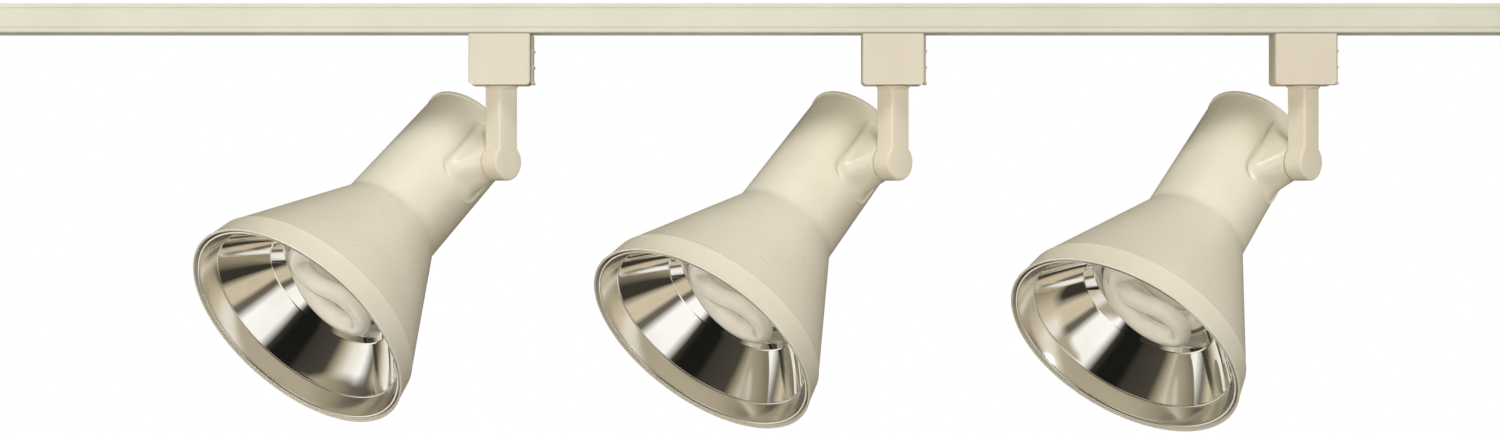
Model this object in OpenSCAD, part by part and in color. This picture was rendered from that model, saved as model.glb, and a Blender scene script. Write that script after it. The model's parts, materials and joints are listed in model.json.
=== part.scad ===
// Single-circuit track lighting fixture with three flared lamp heads.
//
// Frame: millimetres, +Z up, +X along the track, -Y towards the room side that the heads face.
// The origin is the middle of the track's top face, which lies against the ceiling.
//
// Each head is an adapter in the track, a stem that turns about the vertical, and a lamp that
// tilts about the knuckle at the stem's foot. Head 1 is at -X and head 3 at +X.

/* [Track] */
// Length of the aluminium channel (a 4 ft section)
track_length = 1219; // [1100:1:1800]
// Depth of the channel, front to back
track_depth = 35; // [34:0.5:40]
// Height of the channel
track_height = 19; // [18:0.5:24]
// Width of the slot along the underside
slot_width = 19; // [18.5:0.5:20]
// Distance between the two ceiling screw holes
ceiling_hole_spacing = 800; // [600:10:1000]
// Radius of each ceiling screw hole
ceiling_hole_r = 2.4; // [2:0.1:3]
// Length of the live-end feed housing
feed_length = 64; // [50:1:90]

/* [Heads] */
// Places of the three heads along the track
head_x = [-253, 0, 265]; // [-450:1:450]
// Direction that each lamp faces, seen from above, anticlockwise from +X
head_heading = [227, 224, 225.5]; // [180:0.5:270]
// Angle of each lamp below the horizontal
head_dip = [40, 44, 46]; // [5:0.5:90]

/* [Adapter] */
// Width of the adapter housing along the track
adapter_width = 39.6; // [38:0.1:44]
// Depth of the adapter housing
adapter_depth = 35; // [33:0.5:38]
// Height of the adapter housing
adapter_height = 32.8; // [31:0.1:38]
// Travel of the release latch
latch_travel = 3.5; // [2:0.1:3.5]

/* [Stem and knuckle] */
// Width of the stem along the lamp's heading
stem_width = 16.5; // [15:0.1:18]
// Thickness of the stem along the tilt axis
stem_thickness = 13.9; // [13:0.1:16]
// Height of the tilt axis below the ceiling
pivot_drop = 101.7; // [101:0.1:120]
// Radius of the round knuckle
knuckle_r = 11.9; // [11:0.1:12.5]
// Distance from the stem's centre to the lamp's own axis
lamp_offset = 56; // [56:0.1:62]

/* [Lamp housing] */
// Rear end of the neck, measured along the lamp axis from the tilt axis
neck_rear = -31; // [-31:0.1:-28]
// Radius of the neck at its rear end
neck_rear_r = 33.3; // [33:0.1:34]
// Place along the lamp axis where the neck meets the cone
neck_front = 62; // [59:0.1:66]
// Radius of the neck where it meets the cone
neck_front_r = 35.1; // [34.5:0.1:35.5]
// Place along the lamp axis where the cone meets the rim band
cone_front = 145.4; // [143:0.1:150]
// Radius of the cone at its large end
cone_r = 76.5; // [75:0.1:77]
// Place of the mouth along the lamp axis
mouth = 164.2; // [163:0.1:168]
// Radius of the rim band at the mouth
mouth_r = 80.2; // [79.5:0.1:80.5]
// Thickness of the spun metal
shell_wall = 1.6; // [1.2:0.1:1.8]

/* [Reflector] */
// Depth of the flared outer band of the reflector
band_depth = 11.2; // [9:0.1:12]
// Radius of the ridge at the inner edge of that band
ridge_r = 69.4; // [69:0.1:72]
// Radius of the opening that the lamp stands in
opening_r = 47; // [44:0.5:50]
// Place of that opening along the lamp axis
opening_at = 127; // [124:0.5:130]
// Radius of the collar's rear end, close around the lamp
collar_end_r = 39; // [38:0.5:41]
// Depth of the collar behind the opening
collar_depth = 10; // [6:0.5:12]
// Thickness of the reflector
reflector_wall = 1; // [0.8:0.1:1.2]

/* [Lamp] */
// Radius of the glass tube
tube_r = 6.4; // [6:0.1:6.5]
// Radius of the spiral, measured to the middle of the tube
spiral_r = 31; // [30:0.1:32]
// Turns of each of the spiral's two strands
spiral_turns = 1.75; // [1.5:0.25:1.75]
// Angle about the lamp axis at which the tube crosses the tip
spiral_start = 70; // [45:5:90]
// Place of the lamp's tip along the lamp axis
lamp_tip = 134; // [133:0.5:136]
// Radius of the lamp's ballast housing
ballast_r = 29.5; // [29:0.1:30]

/* [Hidden] */
$fn = 64;
heads = [0, 1, 2];
HEAD_PARTS = ["adapter_housing", "contact_carrier", "contact_blades", "release_latch",
    "latch_spring", "swivel_nut", "stem", "knuckle_cap", "pivot_nipple", "lamp_arm",
    "lamp_housing", "rear_cap", "reflector", "lamp_socket", "socket_shell", "lamp_base",
    "lamp_tube", "socket_leads"];

// Colours
track_white = [0.87, 0.87, 0.80];
housing_ivory = [0.90, 0.87, 0.80];
adapter_cream = [0.90, 0.86, 0.78];
pvc_grey = [0.80, 0.80, 0.78];
copper = [0.80, 0.50, 0.32];
brass = [0.80, 0.68, 0.36];
zinc = [0.72, 0.72, 0.72];
polished = [0.88, 0.88, 0.86];
porcelain = [0.95, 0.94, 0.90];
lamp_white = [0.97, 0.95, 0.90];

// Clearances
running_gap = 0.05; // between a shaft and the bore it turns in, on the radius
body_gap = 0.3; // between two pieces that move past each other

// Track section
track_wall = 1.8;
lip_thickness = 1.6;
track_corner_r = 1.2;
cavity_half = track_depth / 2 - 1.6;
cavity_top = -track_wall;
cavity_floor = -track_height + lip_thickness;
groove_depth = 0.5;
groove_height = 0.7;
groove_places = [-2.9, -15.4];
liner_face = 11.2; // distance of each liner's inner face from the middle
liner_top = cavity_top - 0.8;
liner_floor = cavity_floor + 0.8;
conductor_face = 12; // distance of each conductor's face from the middle
conductor_thickness = 1.2;
conductor_height = 4;
conductor_z = -10;
plug_length = 12.3; // of the end cap, inside the channel

// Adapter
adapter_top = -track_height - body_gap;
adapter_bottom = adapter_top - adapter_height;
adapter_left = -adapter_width / 2 - 0.4;
adapter_right = adapter_left + adapter_width;
adapter_wall = 2;
adapter_floor_thickness = 4;
adapter_corner_r = 2.8;
recess_depth = 4.4; // of the latch's recess in the housing's +X face
recess_floor = adapter_bottom + 1.5;
recess_half = 8.3;
recess_mouth_half = 6.3;
recess_lip = 1.5;
recess_back = adapter_right - recess_depth;
latch_bottom = recess_floor + latch_travel + body_gap;
spring_bore_r = 1.3;
spring_bore_depth = 15;
tower_half = 8.6; // half the depth of the contact tower in the slot
tower_top = -4;
carrier_plate = 2.8;

// Stem
nipple_r = 5;
wireway_r = 3;
collar_r = 10.6;
collar_height = 1.5;
collar_top = adapter_bottom - body_gap;
stem_top = collar_top - collar_height;
stem_corner_r = 2;
knuckle_face = stem_thickness / 2;
counterbore_r = 8.5;
counterbore_depth = 5.5;
knuckle_cap_thickness = 1.5;
swivel_nut_height = 5;
swivel_nut_z = adapter_bottom + adapter_floor_thickness + body_gap;

// Lamp: the lamp frame has its origin on the tilt axis, +X along the lamp axis towards the
// mouth, and +Y along the tilt axis towards the knuckle's free face
arm_face = -knuckle_face - 0.3;
arm_half_length = 27;
arm_half_width = 14.2;
neck_slope = (neck_front_r - neck_rear_r) / (neck_front - neck_rear);
neck_r_at_pivot = neck_rear_r - neck_slope * neck_rear;
nut_face = -lamp_offset + sqrt(pow(neck_r_at_pivot - shell_wall, 2) - 81) - 0.3;
nut_height = 4;
lip_r = neck_rear_r + 0.8;
lip_length = 2.5;
bead_r = 0.8;
socket_r = 17;
socket_rear = -18;
socket_front = 30;
shell_r = 13.9;
lamp_cap_r = 12.6;
ballast_rear = 31;
ballast_front = 72;
strand_rings = 36;
tube_sides = 10;
leg_bend_r = 8;
leg_bend_steps = 4;
spiral_top = lamp_tip - tube_r;
spiral_floor = ballast_front + leg_bend_r;
lead_r = 1.1;
lead_bend_r = 5;

// ---------------------------------------------------------------- placing

// The frame of a head: over its stem, with its origin on the track's top face
module at_head(head) {
    translate([head_x[head], 0, 0])
        children();
}

// The frame of a stem: as the head's, turned so that +X is the lamp's heading
module at_stem(head) {
    at_head(head)
        rotate([0, 0, head_heading[head]])
            children();
}

// The frame of a lamp: on the tilt axis, with +X along the lamp axis
module at_lamp(head) {
    at_stem(head)
        translate([0, 0, -pivot_drop])
            rotate([0, head_dip[head], 0])
                children();
}

// Turns an outline of [radius, place along the lamp axis] about the lamp axis
module about_lamp_axis() {
    translate([0, -lamp_offset, 0])
        rotate([0, 90, 0])
            rotate_extrude()
                children();
}

// A cylinder along the tilt axis from y0 to y1
module along_tilt_axis(r, y0, y1, sides = 64) {
    translate([0, y1, 0])
        rotate([90, 0, 0])
            cylinder(r = r, h = y1 - y0, $fn = sides);
}

// ---------------------------------------------------------------- outlines

// A rectangle from low to high with round corners
module rounded_rect(low, high, r) {
    translate([low[0] + r, low[1]])
        square([high[0] - low[0] - 2 * r, high[1] - low[1]]);
    translate([low[0], low[1] + r])
        square([high[0] - low[0], high[1] - low[1] - 2 * r]);
    for (x = [low[0] + r, high[0] - r])
        for (y = [low[1] + r, high[1] - r])
            translate([x, y])
                circle(r = r);
}

// A box from low to high
module box(low, high) {
    translate(low)
        cube(high - low);
}

// Stretches a Y-Z outline along X from x0 to x1
module along_track(x0, x1) {
    translate([x0, 0, 0])
        rotate([90, 0, 90])
            linear_extrude(x1 - x0)
                children();
}

// The outer outline of the track, with round lower corners
module track_outline() {
    rounded_rect([-track_depth / 2, -track_height], [track_depth / 2, 0], track_corner_r);
    translate([-track_depth / 2, -track_corner_r * 2])
        square([track_depth, track_corner_r * 2]);
}

module track_section() {
    difference() {
        track_outline();
        translate([-cavity_half, cavity_floor])
            square([2 * cavity_half, cavity_top - cavity_floor]);
        translate([-slot_width / 2, -track_height - 1])
            square([slot_width, lip_thickness + 2]);
        for (side = [-1, 1])
            for (z = groove_places)
                translate([side * track_depth / 2, z])
                    square([2 * groove_depth, groove_height], center = true);
    }
}

// ---------------------------------------------------------------- track

module track_channel() {
    color(track_white)
        difference() {
            along_track(-track_length / 2, track_length / 2)
                track_section();
            for (side = [-1, 1])
                translate([side * ceiling_hole_spacing / 2, 0, -track_wall - 1])
                    cylinder(r = ceiling_hole_r, h = track_wall + 2);
        }
}

// Two extruded plastic liners, each with a groove that holds its conductor
module track_liners() {
    color(pvc_grey)
        for (side = [0, 1])
            mirror([0, side, 0])
                difference() {
                    box([-track_length / 2, liner_face, liner_floor],
                        [track_length / 2 - plug_length, cavity_half, liner_top]);
                    box([-track_length, liner_face - 1, conductor_z - conductor_height / 2],
                        [track_length, conductor_face + conductor_thickness,
                            conductor_z + conductor_height / 2]);
                }
}

module track_conductors() {
    color(copper)
        for (side = [-1, 1])
            translate([-track_length / 2,
                    side * (conductor_face + conductor_thickness / 2) - conductor_thickness / 2,
                    conductor_z - conductor_height / 2])
                cube([track_length - plug_length, conductor_thickness, conductor_height]);
}

// Dead-end cap with a plug that fills the end of the channel
module end_cap() {
    color(track_white) {
        along_track(track_length / 2, track_length / 2 + 3)
            track_outline();
        box([track_length / 2 - plug_length + 0.1, -cavity_half + 0.1, cavity_floor + 0.1],
            [track_length / 2, cavity_half - 0.1, cavity_top - 0.1]);
    }
}

// Open-topped housing at the live end, with a conduit knockout in its end wall
module feed_housing() {
    feed_end = -track_length / 2 - feed_length;
    color(track_white)
        difference() {
            along_track(feed_end, -track_length / 2) {
                rounded_rect([-19.5, -27], [19.5, 0], 3);
                translate([-19.5, -6])
                    square([39, 6]);
            }
            box([feed_end + 2, -17.5, -25], [-track_length / 2 - 2, 17.5, 1]);
            box([-track_length / 2 - 3, -10, -17], [-track_length / 2 + 1, 10, -4]);
            translate([feed_end - 1, 0, -13.5])
                rotate([0, 90, 0])
                    cylinder(r = 11.1, h = 4);
        }
}

// Terminal block whose tongue carries the supply into the track, with three wire screws
module feed_terminals() {
    track_end = -track_length / 2;
    color(pvc_grey) {
        box([track_end - 24, -16, -25], [track_end - 3, 16, -12]);
        box([track_end - 3, -8.5, -16], [track_end + 14, 8.5, -6]);
        box([track_end - 8, -8.5, -12], [track_end - 3, 8.5, -6]);
    }
    color(brass)
        for (y = [-11, 0, 11])
            translate([track_end - 16, y, -12])
                cylinder(r = 3.2, h = 2.4);
}

// ---------------------------------------------------------------- adapter

// The outer block, with round corners on its front outline and on its plan
module adapter_block() {
    intersection() {
        translate([0, adapter_depth / 2, 0])
            rotate([90, 0, 0])
                linear_extrude(adapter_depth) {
                    rounded_rect([adapter_left, adapter_bottom], [adapter_right, adapter_top],
                        adapter_corner_r);
                    translate([adapter_left, adapter_top - 2 * adapter_corner_r])
                        square([adapter_width, 2 * adapter_corner_r]);
                }
        translate([0, 0, adapter_bottom - 1])
            linear_extrude(adapter_height + 2)
                rounded_rect([adapter_left, -adapter_depth / 2], [adapter_right, adapter_depth / 2],
                    1.6);
    }
}

module adapter_housing(head) {
    at_head(head)
        color(adapter_cream)
            difference() {
                adapter_block();
                box([adapter_left + adapter_wall, -adapter_depth / 2 + adapter_wall,
                        adapter_bottom + adapter_floor_thickness],
                    [recess_back - adapter_wall, adapter_depth / 2 - adapter_wall, adapter_top + 1]);
                box([recess_back, -recess_half, recess_floor],
                    [adapter_right - recess_lip, recess_half, adapter_top + 1]);
                box([recess_back, -recess_mouth_half, recess_floor],
                    [adapter_right + 1, recess_mouth_half, adapter_top + 1]);
                translate([0, 0, adapter_bottom - 1])
                    cylinder(r = nipple_r + running_gap, h = adapter_floor_thickness + 2);
            }
}

// Lid of the housing, with the insulating tower that stands in the track's slot
module contact_carrier(head) {
    at_head(head)
        color(pvc_grey) {
            box([adapter_left + adapter_wall + 0.1, -adapter_depth / 2 + adapter_wall + 0.1,
                    adapter_top - carrier_plate],
                [recess_back - adapter_wall - 0.1, adapter_depth / 2 - adapter_wall - 0.1, adapter_top]);
            translate([0, 0, adapter_top])
                linear_extrude(tower_top - adapter_top)
                    rounded_rect([-16, -tower_half], [12, tower_half], 2);
        }
}

// Line and neutral blades on the tower's sides, and the earth spring on top of it
module contact_blades(head) {
    blade_reach = conductor_face - 0.4;
    at_head(head)
        color(copper) {
            for (side = [0, 180])
                rotate([0, 0, side]) {
                    box([-7, tower_half, conductor_z - 0.5], [7, blade_reach, conductor_z + 0.5]);
                    box([-4, tower_half, conductor_z - 4], [4, tower_half + 0.8, conductor_z - 0.5]);
                }
            box([-8, -2.5, tower_top], [6, 2.5, tower_top + 0.8]);
            box([-3, -2.5, tower_top + 0.8], [1, 2.5, cavity_top - 0.4]);
        }
}

// Ribbed slider whose tongue keeps the adapter from twisting out of the slot
module release_latch(head) {
    latch_top = adapter_top - 2.5;
    pad_back = adapter_right + body_gap;
    pad_face = pad_back + 1.2;
    pad_bottom = adapter_bottom + 0.5;
    at_head(head)
        color(adapter_cream)
            difference() {
                union() {
                    box([recess_back + body_gap, -recess_half + body_gap, latch_bottom],
                        [adapter_right - recess_lip - body_gap, recess_half - body_gap, latch_top]);
                    box([recess_back + body_gap, -recess_mouth_half + body_gap, latch_bottom],
                        [pad_back, recess_mouth_half - body_gap, latch_top]);
                    box([recess_back + body_gap, -recess_mouth_half + body_gap, latch_top],
                        [adapter_right - recess_lip - body_gap, recess_mouth_half - body_gap,
                            cavity_floor - 0.4]);
                    box([pad_back, -9, pad_bottom], [pad_face, 9, latch_top + 1.5]);
                    for (rib = [0:2])
                        box([pad_face, -9, pad_bottom + 10.3 * rib],
                            [pad_face + 0.7, 9, pad_bottom + 1.4 + 10.3 * rib]);
                }
                translate([recess_back + 2, 0, latch_bottom - 1])
                    cylinder(r = spring_bore_r, h = spring_bore_depth + 1);
            }
}

// Points of a ring of radius r about p, in the plane of the unit vectors across and up
function ring(p, across, up, r, sides) =
    [for (k = [0:sides - 1]) p + r * cos(360 * k / sides) * across + r * sin(360 * k / sides) * up];

// Closed tube through a list of rings with the same number of sides
module tube_of_rings(rings) {
    sides = len(rings[0]);
    last = len(rings) - 1;
    polyhedron(
        points = [for (each_ring = rings) for (p = each_ring) p],
        faces = concat(
            [[for (k = [0:sides - 1]) k]],
            [for (i = [0:last - 1]) for (k = [0:sides - 1]) for (half = [0, 1])
                let (next = (k + 1) % sides, near = i * sides, far = near + sides)
                    half == 0 ? [near + k, far + k, far + next] : [near + k, far + next, near + next]],
            [[for (k = [sides - 1:-1:0]) last * sides + k]]),
        convexity = 10);
}

function unit(v) = v / norm(v);

// Small compression spring that stands on the recess floor, inside the latch's bore
module latch_spring(head) {
    turns = 6;
    coil_r = 0.95;
    wire_r = 0.22;
    height = spring_bore_depth + latch_travel - 3.9;
    steps = turns * 8;
    rings = [for (i = [0:steps])
        let (angle = 360 * turns * i / steps, out = [cos(angle), sin(angle), 0],
            along = [-sin(angle), cos(angle), 0])
            ring(coil_r * out + [0, 0, wire_r + (height - 2 * wire_r) * i / steps], out,
                cross(along, out), wire_r, 5)];
    at_head(head)
        color(zinc)
            translate([recess_back + 2, 0, recess_floor])
                tube_of_rings(rings);
}

// Hexagonal nut that holds the stem's nipple on the adapter's floor
module swivel_nut(head) {
    at_stem(head)
        color(brass)
            translate([0, 0, swivel_nut_z])
                difference() {
                    cylinder(r = 9, h = swivel_nut_height, $fn = 6);
                    translate([0, 0, -1])
                        cylinder(r = nipple_r, h = swivel_nut_height + 2);
                }
}

// ---------------------------------------------------------------- stem and knuckle

module stem(head) {
    at_stem(head)
        color(housing_ivory)
            difference() {
                union() {
                    translate([0, 0, -pivot_drop])
                        linear_extrude(stem_top + pivot_drop)
                            rounded_rect([-stem_width / 2, -stem_thickness / 2],
                                [stem_width / 2, stem_thickness / 2], stem_corner_r);
                    translate([0, 0, stem_top])
                        cylinder(r = collar_r, h = collar_height);
                    translate([0, 0, collar_top])
                        cylinder(r = nipple_r, h = swivel_nut_z + swivel_nut_height + 1.5 - collar_top);
                    translate([0, 0, -pivot_drop])
                        along_tilt_axis(knuckle_r, -knuckle_face, knuckle_face);
                }
                translate([0, 0, -pivot_drop])
                    cylinder(r = wireway_r, h = pivot_drop);
                translate([0, 0, -pivot_drop]) {
                    along_tilt_axis(nipple_r + running_gap, -knuckle_face - 1, knuckle_face + 1);
                    along_tilt_axis(counterbore_r, knuckle_face - counterbore_depth, knuckle_face + 1);
                }
            }
}

// Plain disc that closes the knuckle's counterbore
module knuckle_cap(head) {
    at_stem(head)
        color(housing_ivory)
            translate([0, 0, -pivot_drop])
                along_tilt_axis(counterbore_r, knuckle_face - knuckle_cap_thickness, knuckle_face);
}

// Hollow flanged nipple that is the tilt axle, with its locknut inside the neck
module pivot_nipple(head) {
    flange_face = knuckle_face - counterbore_depth + body_gap;
    at_lamp(head)
        color(brass) {
            difference() {
                union() {
                    along_tilt_axis(7.8, flange_face, flange_face + 2.8);
                    along_tilt_axis(nipple_r, nut_face - nut_height - 1.5, flange_face);
                }
                along_tilt_axis(wireway_r, nut_face - nut_height - 3, flange_face + 4);
            }
            difference() {
                along_tilt_axis(9, nut_face - nut_height, nut_face, 6);
                along_tilt_axis(nipple_r, nut_face - nut_height - 1, nut_face + 1);
            }
        }
}

// ---------------------------------------------------------------- lamp housing

// Tapered pedestal from the round knuckle to its long footprint on the neck
module lamp_arm(head) {
    foot = -lamp_offset + neck_r_at_pivot - 10;
    at_lamp(head)
        color(housing_ivory)
            difference() {
                hull() {
                    along_tilt_axis(knuckle_r, arm_face - 2, arm_face, 32);
                    for (x = [-1, 1])
                        for (z = [-1, 1])
                            translate([x * (arm_half_length - 4), 0, z * (arm_half_width - 4)])
                                along_tilt_axis(4, foot, foot + 1, 32);
                }
                about_lamp_axis()
                    polygon([[0, neck_rear], [neck_rear_r + 0.02, neck_rear],
                        [neck_front_r + 0.02, neck_front], [0, neck_front]]);
                along_tilt_axis(nipple_r, -lamp_offset, arm_face + 1);
            }
}

// Spun bell: tapered neck, cone, and rim band with a rolled bead
module lamp_housing(head) {
    cone_wall = shell_wall * 1.12;
    at_lamp(head)
        color(housing_ivory)
            difference() {
                about_lamp_axis() {
                    polygon([[neck_rear_r, neck_rear], [neck_front_r, neck_front],
                        [cone_r, cone_front], [mouth_r, mouth - bead_r],
                        [mouth_r - shell_wall, mouth - bead_r], [cone_r - cone_wall, cone_front],
                        [neck_front_r - cone_wall, neck_front],
                        [neck_rear_r - shell_wall, neck_rear]]);
                    translate([mouth_r - bead_r / 2, mouth - bead_r])
                        circle(r = bead_r);
                }
                along_tilt_axis(nipple_r + 0.2, -lamp_offset, 0);
            }
}

// Pressed cap with a lip around the neck's end, air holes, and the socket's post
module rear_cap(head) {
    plug_r = neck_rear_r - shell_wall - 0.1;
    at_lamp(head)
        color(housing_ivory)
            difference() {
                about_lamp_axis() {
                    translate([0, neck_rear - lip_length])
                        square([lip_r - 0.8, lip_length]);
                    translate([0, neck_rear - lip_length + 0.8])
                        square([lip_r, lip_length - 1.6]);
                    translate([lip_r - 0.8, neck_rear - lip_length + 0.8])
                        circle(r = 0.8);
                    translate([lip_r - 0.8, neck_rear - 0.8])
                        circle(r = 0.8);
                    translate([plug_r - 2, neck_rear])
                        square([2, 6]);
                    translate([0, neck_rear])
                        square([9, socket_rear - neck_rear]);
                }
                for (k = [0:11])
                    translate([neck_rear - lip_length - 1, -lamp_offset, 0])
                        rotate([30 * k, 0, 0])
                            translate([0, 0, 21])
                                rotate([0, 90, 0])
                                    cylinder(r = 2, h = lip_length + 2);
            }
}

// Points of the reflector's bowl, a parabola from the ridge back to the opening
function bowl(r_ridge, r_opening, at_ridge, at_opening, steps = 8) =
    [for (i = [0:steps])
        let (r = r_ridge + (r_opening - r_ridge) * i / steps,
            depth = (pow(r, 2) - pow(r_opening, 2)) / (pow(r_ridge, 2) - pow(r_opening, 2)))
            [r, at_opening + (at_ridge - at_opening) * depth]];

// Spun mirror: flared band, ridge, bowl, and a steep collar that closes in around the lamp
module reflector(head) {
    ridge_at = mouth - band_depth - 1;
    edge_r = mouth_r - shell_wall - 0.35;
    inner = concat([[edge_r - 1.2, mouth - bead_r - 0.1]],
        bowl(ridge_r, opening_r, ridge_at, opening_at),
        [[collar_end_r, opening_at - collar_depth]]);
    outer = concat([[collar_end_r + 0.4, opening_at - collar_depth - reflector_wall]],
        bowl(opening_r + reflector_wall, ridge_r + 0.3, opening_at - 0.9,
            ridge_at - reflector_wall),
        [[edge_r, mouth - bead_r - 1.2], [edge_r, mouth - bead_r - 0.1]]);
    at_lamp(head)
        color(polished)
            about_lamp_axis()
                polygon(concat(inner, outer));
}

// ---------------------------------------------------------------- socket and lamp

// Porcelain medium-base socket on the rear cap's post
module lamp_socket(head) {
    at_lamp(head)
        color(porcelain)
            about_lamp_axis()
                polygon([[0, socket_rear], [14, socket_rear], [14, socket_rear + 10],
                    [socket_r, socket_rear + 11], [socket_r, socket_front - 1],
                    [socket_r - 1, socket_front], [shell_r + 0.1, socket_front],
                    [shell_r + 0.1, 2], [0, 2]]);
}

// Brass screw shell and centre contact
module socket_shell(head) {
    at_lamp(head)
        color(brass)
            about_lamp_axis() {
                translate([shell_r - 0.5, 5])
                    square([0.5, socket_front - 6]);
                for (thread = [0:5])
                    translate([shell_r - 0.4, 8 + 3.6 * thread])
                        circle(r = 0.4, $fn = 24);
                translate([0, 2])
                    square([4, 1]);
            }
}

// Screw cap and ballast housing of the compact fluorescent lamp
module lamp_base(head) {
    at_lamp(head)
        color(lamp_white)
            about_lamp_axis() {
                polygon([[0, 3.2], [4.5, 3.2], [5, 5], [9, 6.5], [lamp_cap_r, 9],
                    [lamp_cap_r, ballast_rear - 1.5], [14.5, ballast_rear], [15, ballast_rear + 2],
                    [ballast_r - 1.5, ballast_rear + 14], [ballast_r, ballast_rear + 17],
                    [ballast_r, ballast_front - 4], [ballast_r - 2, ballast_front],
                    [0, ballast_front]]);
                for (thread = [0:4])
                    translate([lamp_cap_r, 10 + 3.6 * thread])
                        circle(r = 0.35, $fn = 24);
            }
}

// Middle of the glass tube, in the frame of the lamp axis: t runs from -1, the foot of one strand,
// through 0, the crossing at the tip, to 1, the foot of the other strand
function spiral_bend(s) = s < 0.1 ? sin(900 * s) : s > 0.8 ? 1 - 0.3 * pow((s - 0.8) / 0.2, 2) : 1;
function spiral_fall(s) = s < 0.1 ? 0.3 * s * s : 0.003 + (s - 0.1) * 0.997 / 0.9;
function spiral_point(t) =
    let (s = abs(t), side = spiral_start + (t < 0 ? 180 : 0), angle = side - 360 * spiral_turns * s,
        r = spiral_r * spiral_bend(s))
        [r * cos(angle), r * sin(angle), spiral_top - (spiral_top - spiral_floor) * spiral_fall(s)];
function spiral_heading(t) =
    let (step = 0.002)
        unit(spiral_point(min(t + step, 1)) - spiral_point(max(t - step, -1)));

// Bend from the foot of a strand down into the ballast housing
function leg_rings(end) =
    let (p = spiral_point(end), ahead = end * spiral_heading(end),
        level = unit([ahead[0], ahead[1], 0]), across = end * cross(level, [0, 0, 1]),
        drop = spiral_floor - ballast_front - 0.05)
        [for (i = [1:leg_bend_steps])
            let (a = 90 * i / leg_bend_steps,
                heading = cos(a) * level - sin(a) * [0, 0, 1])
                ring(p + leg_bend_r * sin(a) * level - drop * (1 - cos(a)) * [0, 0, 1], across,
                    end * cross(heading, across), tube_r, tube_sides)];

module lamp_tube(head) {
    strand = [for (i = [-strand_rings:strand_rings])
        let (t = i / strand_rings, heading = spiral_heading(t),
            across = unit(cross(heading, [0, 0, 1])))
            ring(spiral_point(t), across, cross(heading, across), tube_r, tube_sides)];
    foot = leg_rings(-1);
    rings = concat([for (i = [leg_bend_steps - 1:-1:0]) foot[i]], strand, leg_rings(1));
    at_lamp(head)
        color(lamp_white)
            translate([0, -lamp_offset, 0])
                rotate([0, 90, 0])
                    tube_of_rings(rings);
}

// Line and neutral leads from the nipple's inner end back to the socket's terminals
module socket_leads(head) {
    start = nut_face - nut_height - 1.5;
    reach = 8;
    at_lamp(head)
        color([0.15, 0.15, 0.15])
            for (z = [-1.4, 1.4])
                translate([0, start, z]) {
                    translate([-lead_bend_r, 0, 0])
                        rotate([0, 0, -90])
                            rotate_extrude(angle = 90)
                                translate([lead_bend_r, 0])
                                    circle(r = lead_r);
                    translate([-lead_bend_r - reach, -lead_bend_r, 0])
                        rotate([0, 90, 0])
                            cylinder(r = lead_r, h = reach);
                }
}

// ---------------------------------------------------------------- assembly

track_channel();
track_liners();
track_conductors();
end_cap();
feed_housing();
feed_terminals();
for (head = heads) {
    adapter_housing(head);
    contact_carrier(head);
    contact_blades(head);
    release_latch(head);
    latch_spring(head);
    swivel_nut(head);
    stem(head);
    knuckle_cap(head);
    pivot_nipple(head);
    lamp_arm(head);
    lamp_housing(head);
    rear_cap(head);
    reflector(head);
    lamp_socket(head);
    socket_shell(head);
    lamp_base(head);
    lamp_tube(head);
    socket_leads(head);
}
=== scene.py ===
"""Looks for the track lighting fixture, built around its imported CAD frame."""

import json
import math

import bpy
from mathutils import Matrix, Vector


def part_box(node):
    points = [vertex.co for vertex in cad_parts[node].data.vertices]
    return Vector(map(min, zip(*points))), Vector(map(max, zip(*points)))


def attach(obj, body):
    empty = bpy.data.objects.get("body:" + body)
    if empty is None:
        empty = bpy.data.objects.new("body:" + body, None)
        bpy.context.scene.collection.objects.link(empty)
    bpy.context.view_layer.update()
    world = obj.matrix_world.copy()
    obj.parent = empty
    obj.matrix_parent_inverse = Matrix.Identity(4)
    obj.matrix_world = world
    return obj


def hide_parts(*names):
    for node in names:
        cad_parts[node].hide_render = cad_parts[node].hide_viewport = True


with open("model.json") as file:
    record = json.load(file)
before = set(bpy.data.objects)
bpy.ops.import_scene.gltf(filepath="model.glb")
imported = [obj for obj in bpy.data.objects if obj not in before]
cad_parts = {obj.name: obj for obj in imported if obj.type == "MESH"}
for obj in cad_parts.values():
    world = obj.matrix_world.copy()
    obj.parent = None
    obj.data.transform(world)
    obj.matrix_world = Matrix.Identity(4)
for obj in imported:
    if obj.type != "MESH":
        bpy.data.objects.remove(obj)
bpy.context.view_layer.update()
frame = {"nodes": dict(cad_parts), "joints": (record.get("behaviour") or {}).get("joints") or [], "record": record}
nodes = frame["nodes"]
joints = {j["name"]: j for j in frame["joints"]}
MM = 0.001
HEADS = (1, 2, 3)
scene = bpy.context.scene
scene.view_settings.view_transform = "Standard"

# ------------------------------------------------------------------ dimensions, mm and degrees
# Profiles are lists of (r, a): distance from the lamp's axis and along it from the tilt axis.
# A name that ends in _R is a radius, and the one beside it without _R its place along the axis.

LOWEST_DIP = 5  # of the lamp below level, at the low limit of its tilt
LAMP_OFFSET = 56  # from the stem's middle to the lamp's axis

# Stem and knuckle
STEM_WIDTH, STEM_THICKNESS = 16.5, 13.9
STEM_BEVEL = 1.7
KNUCKLE_R = 11.9
COLLAR_R, COLLAR_BORE_R, COLLAR_HEIGHT = 10.6, 4, 1.5
COLLAR_OVERLAP = 0.1  # of the stem into its collar
ADAPTER_GAP = 0.3  # between the stem's collar and the adapter's underside

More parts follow.
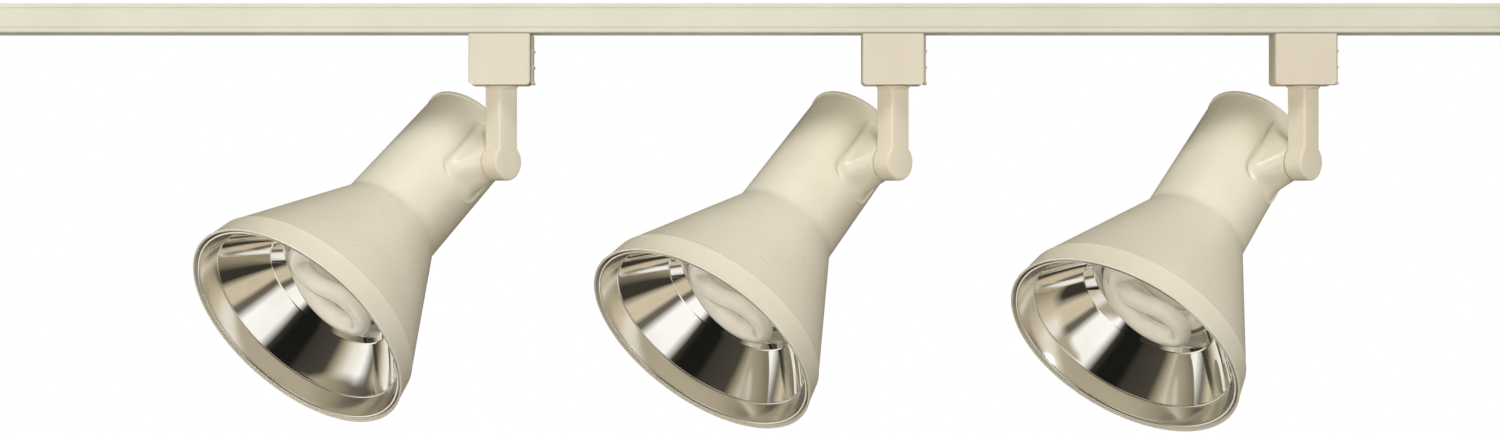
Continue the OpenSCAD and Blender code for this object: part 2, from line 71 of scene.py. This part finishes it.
# Bell
NECK_REAR, NECK_REAR_R = -31, 33.3
NECK_FRONT, NECK_FRONT_R = 62, 35.1
NECK_FILLET = 16
CONE_FRONT, CONE_R = 145.4, 76.5
MOUTH, MOUTH_R = 164.2, 80.2
WALL = 1.6
CONE_WALL = WALL * 1.12  # measured across the axis instead of across the wall
BEAD_R = 0.8
BEAD_CENTRE = (MOUTH_R - BEAD_R / 2 - 0.02, MOUTH - BEAD_R)
BEAD_BACK = MOUTH - 3.2 * BEAD_R  # where the wall begins to roll into the bead

# Mirror
RIDGE, RIDGE_R = MOUTH - 12.2, 69.4
OPENING, OPENING_R = 127, 47
COLLAR_END, COLLAR_END_R = OPENING - 10, 39
MIRROR_WALL = 1
LIP_R = 0.9
LIP_CENTRE = (MOUTH_R - WALL - 0.7 - LIP_R, MOUTH - BEAD_R - 1.1)

# Spiral lamp
TUBE_R, SPIRAL_R, SPIRAL_TURNS, SPIRAL_START = 6.4, 31, 1.75, 70
LAMP_TIP, BALLAST_FRONT = 134, 72
TIP_SHARE = 0.1  # share of each strand that crosses the tip
TIP_FALL = 0.3  # how fast the strand leaves the tip's level
TIP_DROP = TIP_FALL * TIP_SHARE ** 2
NARROWING, NARROW_FROM = 0.3, 0.8  # of the spiral towards its feet
FOOT_BEND_R = 8
FOOT_GAP = 0.05  # how far a foot stops short of the ballast

# Arm between the knuckle and the neck
ARM_FACE = -STEM_THICKNESS / 2 - 0.3
ARM_HALF_LENGTH, ARM_HALF_WIDTH, ARM_CORNER = 27, 14.2, 4
ARM_END = 2  # length of the round end, from the face to where the flanks begin
ARM_DEPTH = 10  # how far the foot's outline lies inside the neck
ARM_SINK = 0.3  # how far the foot's surface stops inside the neck
ARM_FILLET, ARM_FLARE = 6, 0.8

# ------------------------------------------------------------------ frames


def axes_to_matrix(x_axis, y_axis, z_axis, at):
    """A frame from its three axes and its origin."""
    m = Matrix.Identity(4)
    for column, axis in enumerate((x_axis, y_axis, z_axis)):
        for row in range(3):
            m[row][column] = axis[row]
    m.translation = Vector(at)
    return m


def stem_frame(head):
    """+X is the lamp's heading, +Y the tilt axis, +Z up; the origin is on the tilt axis."""
    tilt = joints[f"lamp_tilt_{head}"]
    across = Vector(tilt["axis"]).normalized()
    up = Vector((0, 0, 1))
    return axes_to_matrix(across.cross(up), across, up, tilt["pos_m"])


def lamp_frame(head):
    """+X is the lamp axis towards the mouth, +Y the tilt axis; the origin is on the tilt axis."""
    dip = math.radians(LOWEST_DIP - joints[f"lamp_tilt_{head}"]["range_deg"][0])
    return stem_frame(head) @ Matrix.Rotation(dip, 4, "Y")


def lathe_frame(head):
    """The lamp's frame with its origin on the lamp's own axis."""
    return lamp_frame(head) @ Matrix.Translation((0, -LAMP_OFFSET * MM, 0))


# ------------------------------------------------------------------ meshes


def make_piece(name, points, faces, place, body, material, replaced=(), slot=None, crease=35):
    """A mesh piece from points in mm in the frame `place`, riding on a CAD body. The points
    in that frame stay in the attribute "local"."""
    mesh = bpy.data.meshes.new(name)
    local = [Vector(p) * MM for p in points]
    mesh.from_pydata([place @ p for p in local], [], faces)
    mesh.update()
    placed = mesh.attributes.new("local", "FLOAT_VECTOR", "POINT")
    placed.data.foreach_set("vector", [value for p in local for value in p])
    mesh.shade_smooth()
    mesh.set_sharp_from_angle(angle=math.radians(crease))
    mesh.materials.append(material)
    piece = bpy.data.objects.new(name, mesh)
    scene.collection.objects.link(piece)
    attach(piece, body)
    if replaced:
        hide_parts(*replaced)
    return piece


def filleted(corners, steps=8):
    """A polyline from (r, a) or (r, a, fillet) corners, with each fillet as a tangent arc."""
    line = []
    for i, corner in enumerate(corners):
        here = Vector(corner[:2])
        radius = corner[2] if len(corner) > 2 else 0
        if not radius or i in (0, len(corners) - 1):
            line.append(tuple(here))
            continue
        back = (Vector(corners[i - 1][:2]) - here).normalized()
        ahead = (Vector(corners[i + 1][:2]) - here).normalized()
        half = math.acos(max(-1, min(1, back.dot(ahead)))) / 2
        reach = radius / math.tan(half)
        centre = here + (back + ahead).normalized() * radius / math.sin(half)
        start, end = here + back * reach - centre, here + ahead * reach - centre
        for k in range(steps + 1):
            swing = start.lerp(end, k / steps).normalized() * radius
            line.append(tuple(centre + swing))
    return line


def arc(centre, radius, start, end, steps=10):
    """Points on a circle in the (r, a) plane; angles in degrees from +r towards +a."""
    angles = [math.radians(start + (end - start) * k / steps) for k in range(steps + 1)]
    return [(centre[0] + radius * math.cos(t), centre[1] + radius * math.sin(t)) for t in angles]


def lathe(loop, sides=192):
    """Points and faces of a closed (r, a) loop turned about X."""
    points, faces = [], []
    for r, a in loop:
        for k in range(sides):
            t = 2 * math.pi * k / sides
            points.append((a, r * math.cos(t), r * math.sin(t)))
    count = len(loop)
    for i in range(count):
        j = (i + 1) % count
        for k in range(sides):
            n = (k + 1) % sides
            faces.append((i * sides + k, i * sides + n, j * sides + n, j * sides + k))
    return points, faces


def skin(rings):
    """Points and faces of a closed tube through rings with equal numbers of points."""
    sides, last = len(rings[0]), len(rings) - 1
    points = [p for each in rings for p in each]
    faces = [tuple(range(sides - 1, -1, -1)), tuple(last * sides + k for k in range(sides))]
    for i in range(last):
        for k in range(sides):
            n = (k + 1) % sides
            faces.append((i * sides + k, i * sides + n, (i + 1) * sides + n, (i + 1) * sides + k))
    return points, faces


def join(*parts):
    """One list of points and one of faces from several (points, faces)."""
    points, faces = [], []
    for more_points, more_faces in parts:
        faces += [tuple(len(points) + i for i in f) for f in more_faces]
        points += list(more_points)
    return points, faces


# ------------------------------------------------------------------ materials


class Nodes:
    """A node tree, with short ways to add to it."""

    def __init__(self, tree):
        self.tree = tree
        tree.nodes.clear()

    def node(self, kind, inputs=None, **properties):
        """A new node; an input that is given as a socket is linked to it."""
        made = self.tree.nodes.new(kind)
        for key, value in properties.items():
            setattr(made, key, value)
        for key, value in (inputs or {}).items():
            if isinstance(value, bpy.types.NodeSocket):
                self.link(value, made.inputs[key])
            else:
                made.inputs[key].default_value = value
        return made

    def link(self, a, b):
        self.tree.links.new(a, b)

    def ramp(self, value, low, high, to_low=0.0, to_high=1.0):
        """`value` carried from low..high to to_low..to_high, clamped."""
        return self.node("ShaderNodeMapRange", {0: value, 1: low, 2: high, 3: to_low, 4: to_high},
                         clamp=True).outputs[0]

    def math(self, operation, a, b=0.0):
        """The result of a math node; one with a single operand ignores b."""
        return self.node("ShaderNodeMath", {0: a, 1: b}, operation=operation).outputs[0]

    def mix(self, factor, a, b):
        """Colour between a and b."""
        made = self.node("ShaderNodeMix", data_type="RGBA")
        for key, value in (("Factor", factor), ("A", a), ("B", b)):
            socket = [s for s in made.inputs if s.name == key and s.enabled][0]
            if isinstance(value, bpy.types.NodeSocket):
                self.link(value, socket)
            else:
                socket.default_value = value
        return [s for s in made.outputs if s.enabled][0]


class Shader(Nodes):
    """One material's node tree, with the steps that the materials share."""

    def __init__(self, name, **settings):
        self.material = bpy.data.materials.new(name)
        self.material.use_nodes = True
        super().__init__(self.material.node_tree)
        self.surface = self.node("ShaderNodeBsdfPrincipled")
        output = self.node("ShaderNodeOutputMaterial")
        self.link(self.surface.outputs[0], output.inputs[0])
        self.place = self.node("ShaderNodeTexCoord").outputs["Object"]
        for key, value in settings.items():
            self.surface.inputs[key.replace("_", " ")].default_value = value

    def noise(self, scale, detail=3, rough=0.5, stretch=None):
        place = self.place
        if stretch:
            place = self.node("ShaderNodeVectorMath", {0: place, 1: stretch},
                              operation="MULTIPLY").outputs[0]
        return self.node("ShaderNodeTexNoise", {"Vector": place, "Scale": scale, "Detail": detail,
                                                "Roughness": rough}).outputs[0]

    def edges(self, radius):
        """About 1 on edges that are rounder than `radius` can follow, 0 on flat surfaces."""
        soft = self.node("ShaderNodeBevel", {"Radius": radius}, samples=4).outputs[0]
        hard = self.node("ShaderNodeNewGeometry").outputs["Normal"]
        dot = self.node("ShaderNodeVectorMath", {0: soft, 1: hard}, operation="DOT_PRODUCT")
        return self.ramp(dot.outputs["Value"], 0.995, 0.90)

    def hollows(self, distance):
        """About 1 in corners and crevices, 0 on open surfaces: ambient occlusion, a mask for painted shade."""
        open_sky = self.node("ShaderNodeAmbientOcclusion", {"Distance": distance}, samples=6)
        return self.ramp(open_sky.outputs["AO"], 0.85, 0.35)

    def bump(self, height, strength, distance):
        made = self.node("ShaderNodeBump", {"Height": height, "Strength": strength,
                                            "Distance": distance})
        self.link(made.outputs[0], self.surface.inputs["Normal"])

    def colour(self, socket):
        self.link(socket, self.surface.inputs["Base Color"])

    def roughness(self, socket):
        self.link(socket, self.surface.inputs["Roughness"])


def rgb(r, g, b):
    """Linear RGBA of an sRGB colour that is given from 0 to 255."""
    return tuple(((c / 255 + 0.055) / 1.055) ** 2.4 if c > 10 else c / 255 / 12.92
                 for c in (r, g, b)) + (1.0,)


def paint(name, base, shade, dirt_and_shade, rough=(0.30, 0.42), coat=0.15):
    """Sprayed enamel: slight colour drift, specks, orange peel, painted shade in the corners."""
    s = Shader(name, Coat_Weight=coat, Coat_Roughness=0.2)
    drift = s.ramp(s.noise(14, 4, 0.6), 0.35, 0.65)
    specks = s.ramp(s.noise(420, 2, 0.4), 0.70, 0.80, 0, 0.035)
    colour = s.mix(drift, rgb(*base), rgb(*shade))
    colour = s.mix(specks, colour, rgb(*dirt_and_shade))
    # Painted shade: the third colour darkens corners and crevices by their ambient occlusion; it also colours the
    # specks above
    colour = s.mix(s.math("MULTIPLY", s.hollows(0.004), 0.15), colour, rgb(*dirt_and_shade))
    s.colour(colour)
    s.roughness(s.ramp(s.noise(45, 3), 0.3, 0.7, *rough))
    s.bump(s.noise(700, 2, 0.5), 0.12, 0.00012)
    return s.material


def plastic(name, base, shade, dirt_and_shade, rough=(0.38, 0.5), grain=1500, bump=0.18):
    """Moulded plastic: fine grain, faint flow marks, painted shade in the corners, rubbed edges."""
    s = Shader(name, Specular_IOR_Level=0.45)
    flow = s.ramp(s.noise(22, 4, 0.65, (1, 1, 0.3)), 0.35, 0.68)
    colour = s.mix(flow, rgb(*base), rgb(*shade))
    # Painted shade: the third colour is mixed into corners and crevices by their ambient occlusion
    colour = s.mix(s.math("MULTIPLY", s.hollows(0.004), 0.3), colour, rgb(*dirt_and_shade))
    rub = s.math("MULTIPLY", s.edges(0.0007), s.ramp(s.noise(160, 3), 0.42, 0.6, 0, 0.3))
    colour = s.mix(rub, colour, rgb(248, 246, 240))
    s.colour(colour)
    s.roughness(s.ramp(s.noise(60, 3), 0.3, 0.7, *rough))
    s.bump(s.noise(grain, 2, 0.6), bump, 0.00008)
    return s.material


def metal(name, base, tarnish, rough=(0.2, 0.4)):
    """Bare metal with tarnish in patches and a fine unevenness."""
    s = Shader(name, Metallic=1.0)
    patches = s.ramp(s.noise(60, 5, 0.65), 0.40, 0.70)
    s.colour(s.mix(patches, rgb(*base), rgb(*tarnish)))
    s.roughness(s.ramp(s.noise(102, 4, 0.6), 0.3, 0.7, *rough))
    s.bump(s.noise(720, 3, 0.6), 0.1, 0.00005)
    return s.material


def mirror_metal(name):
    """Polished spun aluminium: a clear bowl with faint rings, a slight wave and fine dust,
    and a satin band outside the ridge."""
    s = Shader(name, Metallic=1.0)
    local = s.node("ShaderNodeAttribute", attribute_name="local").outputs["Vector"]
    split = s.node("ShaderNodeSeparateXYZ", {0: local})
    squares = s.math("ADD", s.math("POWER", split.outputs[1], 2.0),
                     s.math("POWER", split.outputs[2], 2.0))
    radius = s.math("SQRT", squares)
    rings = s.node("ShaderNodeTexNoise", {"W": radius, "Scale": 2600, "Detail": 3},
                   noise_dimensions="1D").outputs[0]
    haze = s.ramp(s.noise(26, 4, 0.6), 0.45, 0.75)
    s.colour(s.mix(haze, rgb(246, 245, 242), rgb(233, 231, 224)))
    dust = s.ramp(s.noise(900, 2, 0.5), 0.66, 0.8, 0, 0.06)
    band = s.ramp(radius, RIDGE_R * MM - 0.0002, RIDGE_R * MM + 0.0006, 0, 0.13)
    s.roughness(s.math("ADD", s.math("ADD", s.ramp(rings, 0.3, 0.7, 0.02, 0.06), dust), band))
    wave = s.noise(30, 2, 0.4)
    s.bump(s.math("ADD", wave, s.math("MULTIPLY", rings, 0.01)), 0.25, 0.00035)
    return s.material


def lamp_glass(name):
    """Glass tube with a white phosphor coating inside: milky body, clear gloss on top, and a faint glow of painted
    light.
    """
    # The faint emission is painted light: a glow that lifts the shade on the unlit tube
    s = Shader(name, Coat_Weight=0.5, Coat_Roughness=0.06,
               Emission_Color=(0.90, 0.85, 0.72, 1), Emission_Strength=0.10)
    patches = s.ramp(s.noise(70, 4, 0.6), 0.35, 0.7)
    s.colour(s.mix(patches, rgb(250, 246, 238), rgb(240, 233, 220)))
    s.roughness(s.ramp(s.noise(180, 3), 0.3, 0.7, 0.12, 0.22))
    s.bump(s.noise(420, 2, 0.4), 0.05, 0.00005)
    return s.material


# The third colour given to paint and plastic is the painted shade in corners, and in paint also the colour of the
# specks
MATERIALS = {
    "track_paint": paint("track_paint", (224, 224, 212), (217, 217, 204), (168, 162, 140)),
    "track_plastic": plastic("track_plastic", (226, 224, 212), (218, 216, 202), (170, 163, 140)),
    "housing_paint": paint("housing_paint", (236, 232, 218), (231, 226, 209), (176, 164, 132),
                           (0.26, 0.36), coat=0.3),
    "adapter_plastic": plastic("adapter_plastic", (226, 219, 205), (220, 211, 196),
                               (160, 142, 108)),
    "stem_plastic": plastic("stem_plastic", (234, 227, 211), (227, 219, 201), (165, 150, 118)),
    "liner_plastic": plastic("liner_plastic", (206, 206, 200), (190, 190, 184), (120, 118, 110)),
    "copper": metal("copper", (226, 150, 112), (150, 88, 62)),
    "brass": metal("brass", (222, 190, 118), (160, 128, 70)),
    "spring_steel": metal("spring_steel", (190, 190, 192), (120, 118, 116), (0.15, 0.3)),
    "polished_aluminium": mirror_metal("polished_aluminium"),
    "porcelain": plastic("porcelain", (244, 242, 232), (232, 228, 214), (170, 162, 140),
                         (0.08, 0.16), 500, 0.05),
    "lamp_plastic": plastic("lamp_plastic", (244, 240, 228), (234, 228, 212), (180, 172, 150),
                            (0.22, 0.32), 900, 0.08),
    "lamp_glass": lamp_glass("lamp_glass"),
    "lead_insulation": plastic("lead_insulation", (34, 33, 32), (48, 46, 44), (90, 84, 74),
                               (0.4, 0.6), 600, 0.2),
}

for part in frame["record"]["subparts"]:
    node = nodes[part["node"]]
    node.data.materials.clear()
    node.data.materials.append(MATERIALS[part["material_slot"]])

# ------------------------------------------------------------------ lamp pieces


def bell_loop():
    """Closed (r, a) loop of the spun bell, with a rolled bead at the mouth."""
    outer = filleted([(NECK_REAR_R, NECK_REAR), (NECK_FRONT_R, NECK_FRONT, NECK_FILLET),
                      (CONE_R - 0.3, CONE_FRONT, 5), (CONE_R + 0.5, CONE_FRONT + 1.2, 1),
                      (MOUTH_R - 0.3, BEAD_BACK)])
    roll = arc(BEAD_CENTRE, BEAD_R, -40, 215, 18)
    inner = filleted([(MOUTH_R - WALL - 0.3, BEAD_BACK), (CONE_R - CONE_WALL, CONE_FRONT, 4),
                      (NECK_FRONT_R - CONE_WALL, NECK_FRONT, NECK_FILLET),
                      (NECK_REAR_R - WALL, NECK_REAR)])
    return outer + roll + inner


def bowl(r):
    """Place along the axis of the bowl's paraboloid at radius r."""
    depth = (r * r - OPENING_R ** 2) / (RIDGE_R ** 2 - OPENING_R ** 2)
    return OPENING + (RIDGE - OPENING) * depth


def mirror_loop(steps=40):
    """Closed (r, a) loop of the mirror: rolled edge, flared band, ridge, bowl and collar."""
    # The offsets of a millimetre or less ease each stretch into the next
    lip_r, lip_at = LIP_CENTRE
    edge = arc(LIP_CENTRE, LIP_R, -60, 185, 14)
    band = [(lip_r - LIP_R, lip_at - 0.3), (RIDGE_R + 0.5, RIDGE + 0.55)]
    ridge = arc((RIDGE_R + 0.45, RIDGE - 0.1), 0.6, 120, 190, 6)
    bowl_r = RIDGE_R - 0.3
    rings = [bowl_r - (bowl_r - OPENING_R) * k / steps for k in range(steps + 1)]
    inside = [(r, bowl(r)) for r in rings]
    collar = filleted([(OPENING_R - 0.1, OPENING - 0.1), (OPENING_R - 0.8, OPENING - 0.5, 0.6),
                       (COLLAR_END_R, COLLAR_END), (COLLAR_END_R + 0.3, COLLAR_END - MIRROR_WALL),
                       (OPENING_R + 0.9, OPENING - MIRROR_WALL)], 4)
    outside = [(r + MIRROR_WALL / 2, bowl(r) - MIRROR_WALL) for r in reversed(rings)]
    behind = [(RIDGE_R + 1.2, RIDGE - 0.5), (lip_r + 0.2, lip_at - LIP_R - 0.1)]
    return edge + band + ridge + inside + collar + outside + behind


def spiral_point(t):
    """Middle of the lamp's tube: t is -1 and 1 at the feet of its strands, 0 at the tip."""
    s = abs(t)
    if s < TIP_SHARE:
        spread, fall = math.sin(math.pi / 2 * s / TIP_SHARE), TIP_FALL * s * s
    else:
        spread = 1 - NARROWING * max(0.0, (s - NARROW_FROM) / (1 - NARROW_FROM)) ** 2
        fall = TIP_DROP + (1 - TIP_DROP) * (s - TIP_SHARE) / (1 - TIP_SHARE)
    turn = math.radians(SPIRAL_START + (180 if t < 0 else 0) - 360 * SPIRAL_TURNS * s)
    top, foot = LAMP_TIP - TUBE_R, BALLAST_FRONT + FOOT_BEND_R
    return Vector((top - (top - foot) * fall, SPIRAL_R * spread * math.sin(turn),
                   -SPIRAL_R * spread * math.cos(turn)))


def spiral_rings(per_strand=150, sides=20, bend_steps=8):
    """Rings of the lamp's tube, with a bend at each foot down into the ballast."""
    axis = Vector((1, 0, 0))
    path = [spiral_point(i / per_strand) for i in range(-per_strand, per_strand + 1)]
    bends = [math.pi / 2 * k / bend_steps for k in range(1, bend_steps + 1)]
    around = [2 * math.pi * k / sides for k in range(sides)]
    drop = FOOT_BEND_R - FOOT_GAP
    feet = []
    for end, inner in ((path[0], path[1]), (path[-1], path[-2])):
        level = end - inner
        level.x = 0
        level.normalize()
        feet.append([end + FOOT_BEND_R * math.sin(a) * level - drop * (1 - math.cos(a)) * axis
                     for a in bends])
    path = feet[0][::-1] + path + feet[1]
    rings = []
    for i, p in enumerate(path):
        heading = (path[min(i + 1, len(path) - 1)] - path[max(i - 1, 0)]).normalized()
        across = heading.cross(axis).normalized()
        up = across.cross(heading).normalized()
        rings.append([p + TUBE_R * (math.cos(t) * across + math.sin(t) * up) for t in around])
    return rings


def neck_r(a):
    """Radius of the neck at a place along the lamp's axis."""
    return NECK_REAR_R + (NECK_FRONT_R - NECK_REAR_R) * (a - NECK_REAR) / (NECK_FRONT - NECK_REAR)


def reach_of_neck(high, low, step=0.005):
    """Share of the way from high to low at which the line is just inside the neck."""
    reach = 0.0
    while reach < 1:
        p = high.lerp(low, reach)
        if math.hypot(p.y + LAMP_OFFSET, p.z) < neck_r(p.x) - ARM_SINK:
            break
        reach += step
    return reach


def arm_rings(per_corner=10, levels=14):
    """Rings of the arm from the round knuckle end to its flared foot on the neck."""
    foot_y = -LAMP_OFFSET + neck_r(0) - ARM_DEPTH
    corners = [(1, 1), (-1, 1), (-1, -1), (1, -1)]
    face_edge = [(0.0, 0.8), (0.2, 0.3), (0.8, 0.0)]  # down from the face, in from the rim
    rings = [[] for _ in range(len(face_edge) + levels + 1)]
    for quarter, (side_x, side_z) in enumerate(corners):
        corner = Vector((side_x * (ARM_HALF_LENGTH - ARM_CORNER), foot_y,
                         side_z * (ARM_HALF_WIDTH - ARM_CORNER)))
        for k in range(per_corner + 1):
            t = math.pi / 2 * (quarter + k / per_corner)
            out = Vector((math.cos(t), 0, math.sin(t)))
            high = Vector((0, ARM_FACE - ARM_END, 0)) + KNUCKLE_R * out
            low = corner + ARM_CORNER * out
            reach = reach_of_neck(high, low)
            for ring, (down, inset) in zip(rings, face_edge):
                ring.append(Vector((0, ARM_FACE - down, 0)) + (KNUCKLE_R - inset) * out)
            length = (low - high).length * reach
            for i, ring in enumerate(rings[len(face_edge):]):
                share = 1 - (1 - i / levels) ** 2
                left = length * (1 - share)
                flare = 0.0
                if left < ARM_FILLET:
                    flare = ARM_FILLET - math.sqrt(ARM_FILLET ** 2 - (ARM_FILLET - left) ** 2)
                ring.append(high.lerp(low, reach * share) + flare * ARM_FLARE * out)
    return rings


for head in HEADS:
    body = f"lamp_{head}"
    axis_place = lathe_frame(head)
    make_piece(f"bell_{head}", *lathe(bell_loop()), axis_place, body,
               MATERIALS["housing_paint"], [f"lamp_housing_{head}"], "housing_paint")
    make_piece(f"mirror_{head}", *lathe(mirror_loop()), axis_place, body,
               MATERIALS["polished_aluminium"], [f"reflector_{head}"], "polished_aluminium")
    make_piece(f"spiral_{head}", *skin(spiral_rings()), axis_place, body,
               MATERIALS["lamp_glass"], [f"lamp_tube_{head}"], "lamp_glass")
    make_piece(f"arm_{head}", *skin(arm_rings()), lamp_frame(head), body,
               MATERIALS["housing_paint"], [f"lamp_arm_{head}"], "housing_paint")

# ------------------------------------------------------------------ stem pieces


def stem_outline(inset, top, steps=64):
    """Keyhole outline of the stem in X-Z: a column over a round knuckle."""
    half, r = STEM_WIDTH / 2 - inset, KNUCKLE_R - inset
    start = math.acos(half / r)
    sweep = math.pi + 2 * start
    angles = [start - sweep * k / steps for k in range(steps + 1)]
    return [(half, top)] + [(r * math.cos(t), r * math.sin(t)) for t in angles] + [(-half, top)]


def stem_rings(top, steps=6):
    """Rings across the stem's thickness, with round edges."""
    inner_face = -STEM_THICKNESS / 2 + STEM_BEVEL
    angles = [math.pi / 2 * k / steps for k in range(steps + 1)]
    levels = [(STEM_BEVEL * (1 - math.sin(t)), inner_face - STEM_BEVEL * math.cos(t))
              for t in angles]
    levels += [(inset, -y) for inset, y in reversed(levels)]
    return [[(x, y, z) for x, z in stem_outline(inset, top)] for inset, y in levels]


def collar_loop(high):
    """Closed (r, a) loop of the washer-like collar under the adapter."""
    low = high - COLLAR_HEIGHT
    rim = filleted([(0, low), (COLLAR_R, low, 0.5), (COLLAR_R, high, 0.3), (0, high)], 5)
    return rim[1:-1] + [(COLLAR_BORE_R, high), (COLLAR_BORE_R, low)]


def stand(points, faces):
    """Turns a part made about X so that it stands about Z."""
    return [(p[1], p[2], p[0]) for p in points], faces


for head in HEADS:
    body = f"stem_{head}"
    place = stem_frame(head)
    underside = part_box(f"adapter_housing_{head}")[0].z
    high = underside / MM - place.translation.z / MM - ADAPTER_GAP
    column = skin(stem_rings(high - COLLAR_HEIGHT + COLLAR_OVERLAP))
    collar = stand(*lathe(collar_loop(high), 96))
    make_piece(f"stem_body_{head}", *join(column, collar), place, body,
               MATERIALS["stem_plastic"], [f"stem_{head}", f"knuckle_cap_{head}"], "stem_plastic")

# ------------------------------------------------------------------ camera

# Level and square to the track; the shift moves the picture without tilting the camera
camera_data = bpy.data.cameras.new("camera")
camera_data.lens = 97.2
camera_data.sensor_width = 36
camera_data.shift_x = 0.00767
camera_data.shift_y = 0.01687
camera_data.clip_end = 60
camera = bpy.data.objects.new("camera", camera_data)
camera.location = (-0.0998, -2.616, -0.1534)
camera.rotation_euler = (math.radians(90), 0, 0)
scene.collection.objects.link(camera)
scene.camera = camera

# ------------------------------------------------------------------ stage and light

FLOOR_HALF, FLOOR_DEPTH = 9, 1.5  # metres
floor_mesh = bpy.data.meshes.new("floor")
floor_mesh.from_pydata([(-FLOOR_HALF, -FLOOR_HALF, 0), (FLOOR_HALF, -FLOOR_HALF, 0),
                        (FLOOR_HALF, FLOOR_HALF, 0), (-FLOOR_HALF, FLOOR_HALF, 0)],
                       [], [(0, 1, 2, 3)])
floor = bpy.data.objects.new("floor", floor_mesh)
floor.location.z = -FLOOR_DEPTH
# Pale from every side by a glow of its own, and neither lighting nor mirrored in the object
floor_shader = Shader("floor_white")
floor_shader.colour(floor_shader.mix(floor_shader.ramp(floor_shader.noise(1.5), 0.3, 0.7),
                                     rgb(243, 243, 241), rgb(236, 236, 233)))
floor_shader.surface.inputs["Emission Color"].default_value = rgb(238, 238, 234)
floor_shader.surface.inputs["Emission Strength"].default_value = 0.55
floor_mesh.materials.append(floor_shader.material)
scene.collection.objects.link(floor)
floor.visible_glossy = False
floor.visible_diffuse = False

# A made-up studio that only mirrors and gloss see. Its tones are sRGB values
BLACK, BROWN, DARK, GREY = (25, 25, 23), (56, 53, 46), (70, 66, 59), (104, 98, 86)
MID, SAND, BEIGE = (150, 140, 117), (172, 162, 139), (204, 190, 166)
CREAM, WHITE = (228, 221, 208), (250, 248, 244)
# Round the horizon and down across the floor: position on the ring in degrees, tone
RING = [(-25, MID), (-6, GREY), (4, BROWN), (36, BROWN), (58, BEIGE), (90, BEIGE), (99, GREY),
        (107, GREY), (120, WHITE), (153, WHITE), (165, BROWN), (173, BLACK), (197, BLACK),
        (204, BROWN), (234, DARK), (242, MID), (258, CREAM), (276, WHITE), (288, GREY),
        (297, BEIGE), (310, GREY)]
# The upper part of the room: azimuth in degrees, tone
UPPER = [(20, GREY), (60, MID), (110, BEIGE), (124, CREAM), (136, CREAM), (145, SAND), (214, SAND),
         (240, MID), (262, GREY), (290, DARK), (340, GREY)]
# Where the upper part begins: azimuth, elevation in degrees
SKYLINE = [(20, -50), (60, -60), (94, -60), (126, -53), (150, -41), (166, -28), (182, -10),
           (198, 2), (214, 9), (238, 12), (262, 13), (290, 10), (330, -10)]

RING_LEAN = 0.9  # how far the ring's tones lean round with elevation
SKYLINE_BLUR = 1.5  # degrees either side of the skyline
STUDIO_STRENGTH = 1.1
# Warm dim light on the object from all round
ROOM, ROOM_STRENGTH = (0.33, 0.28, 0.18, 1), 0.6

world = bpy.data.worlds.new("studio")
scene.world = world
world.use_nodes = True
sky = Nodes(world.node_tree)


def stops(value, low, high, places):
    """A colour ramp over `value` from low to high; places are (value, colour)."""
    made = sky.node("ShaderNodeValToRGB", {0: sky.ramp(value, low, high)})
    ramp = made.color_ramp
    while len(ramp.elements) < len(places):
        ramp.elements.new(0.5)
    for k, (at, _) in enumerate(places):
        ramp.elements[k].position = (at - low) / (high - low)
    for k, (_, colour) in enumerate(places):
        ramp.elements[k].color = colour
    return made.outputs[0]


def background(colour, strength):
    """The output of one even background."""
    return sky.node("ShaderNodeBackground", {"Color": colour, "Strength": strength}).outputs[0]


way = sky.node("ShaderNodeTexCoord").outputs["Generated"]
east, north, up = sky.node("ShaderNodeSeparateXYZ", {0: way}).outputs
turn = sky.math("DEGREES", sky.math("ARCTAN2", east, north))
azimuth = sky.math("MODULO", sky.math("ADD", turn, 360.0), 360.0)
elevation = sky.math("DEGREES", sky.math("ARCSINE", up))
ring_place = sky.math("ADD", azimuth, sky.math("MULTIPLY", elevation, RING_LEAN))
ring = stops(ring_place, -90, 370, [(at, rgb(*tone)) for at, tone in RING])
upper = stops(azimuth, 0, 360, [(at, rgb(*tone)) for at, tone in UPPER])
# The skyline's elevations, from -90 to 90, travel through the ramp as greys from 0 to 1
skyline = stops(azimuth, 0, 360, [(at, ((e + 90) / 180,) * 3 + (1,)) for at, e in SKYLINE])
skyline = sky.math("SUBTRACT", sky.math("MULTIPLY", skyline, 180.0), 90.0)
above = sky.ramp(sky.math("SUBTRACT", elevation, skyline), -SKYLINE_BLUR, SKYLINE_BLUR)
studio = sky.mix(above, ring, upper)

backdrop = background((1, 1, 1, 1), 1.0)
room = background(ROOM, ROOM_STRENGTH)
mirrored = background(studio, STUDIO_STRENGTH)
rays = sky.node("ShaderNodeLightPath").outputs
indirect = sky.node("ShaderNodeMixShader", {0: rays["Is Glossy Ray"], 1: room,
                                            2: mirrored}).outputs[0]
seen = sky.node("ShaderNodeMixShader", {0: rays["Is Camera Ray"], 1: indirect,
                                        2: backdrop}).outputs[0]
sky.node("ShaderNodeOutputWorld", {0: seen})


def panel(name, at, size, power, tint, shows=False, aim=(0.0, 0, -0.13)):
    """A soft box: a rectangular area light that faces `aim`; `shows` is for reflections."""
    data = bpy.data.lights.new(name, "AREA")
    data.shape = "RECTANGLE"
    data.size, data.size_y = size
    data.energy = power
    data.color = tint
    lamp = bpy.data.objects.new(name, data)
    lamp.location = at
    lamp.rotation_euler = (Vector(aim) - Vector(at)).to_track_quat("-Z", "Y").to_euler()
    lamp.visible_glossy = shows
    scene.collection.objects.link(lamp)


panel("key", (-0.45, -1.2, 1.9), (1.8, 0.7), 26, (1.0, 0.99, 0.96), True, (-0.05, 0, -0.13))
panel("front", (-0.8, -2.5, -0.2), (2.0, 1.2), 31, (1.0, 0.99, 0.95))
panel("right", (2.2, -1.2, -0.1), (1.0, 1.4), 22, (0.98, 0.98, 0.99), True)
panel("left", (-2.3, -0.9, -0.1), (1.0, 1.4), 7.5, (1.0, 1.0, 0.98))
panel("back", (0.4, 2.4, 0.7), (2.4, 1.4), 6, (1.0, 0.98, 0.95))
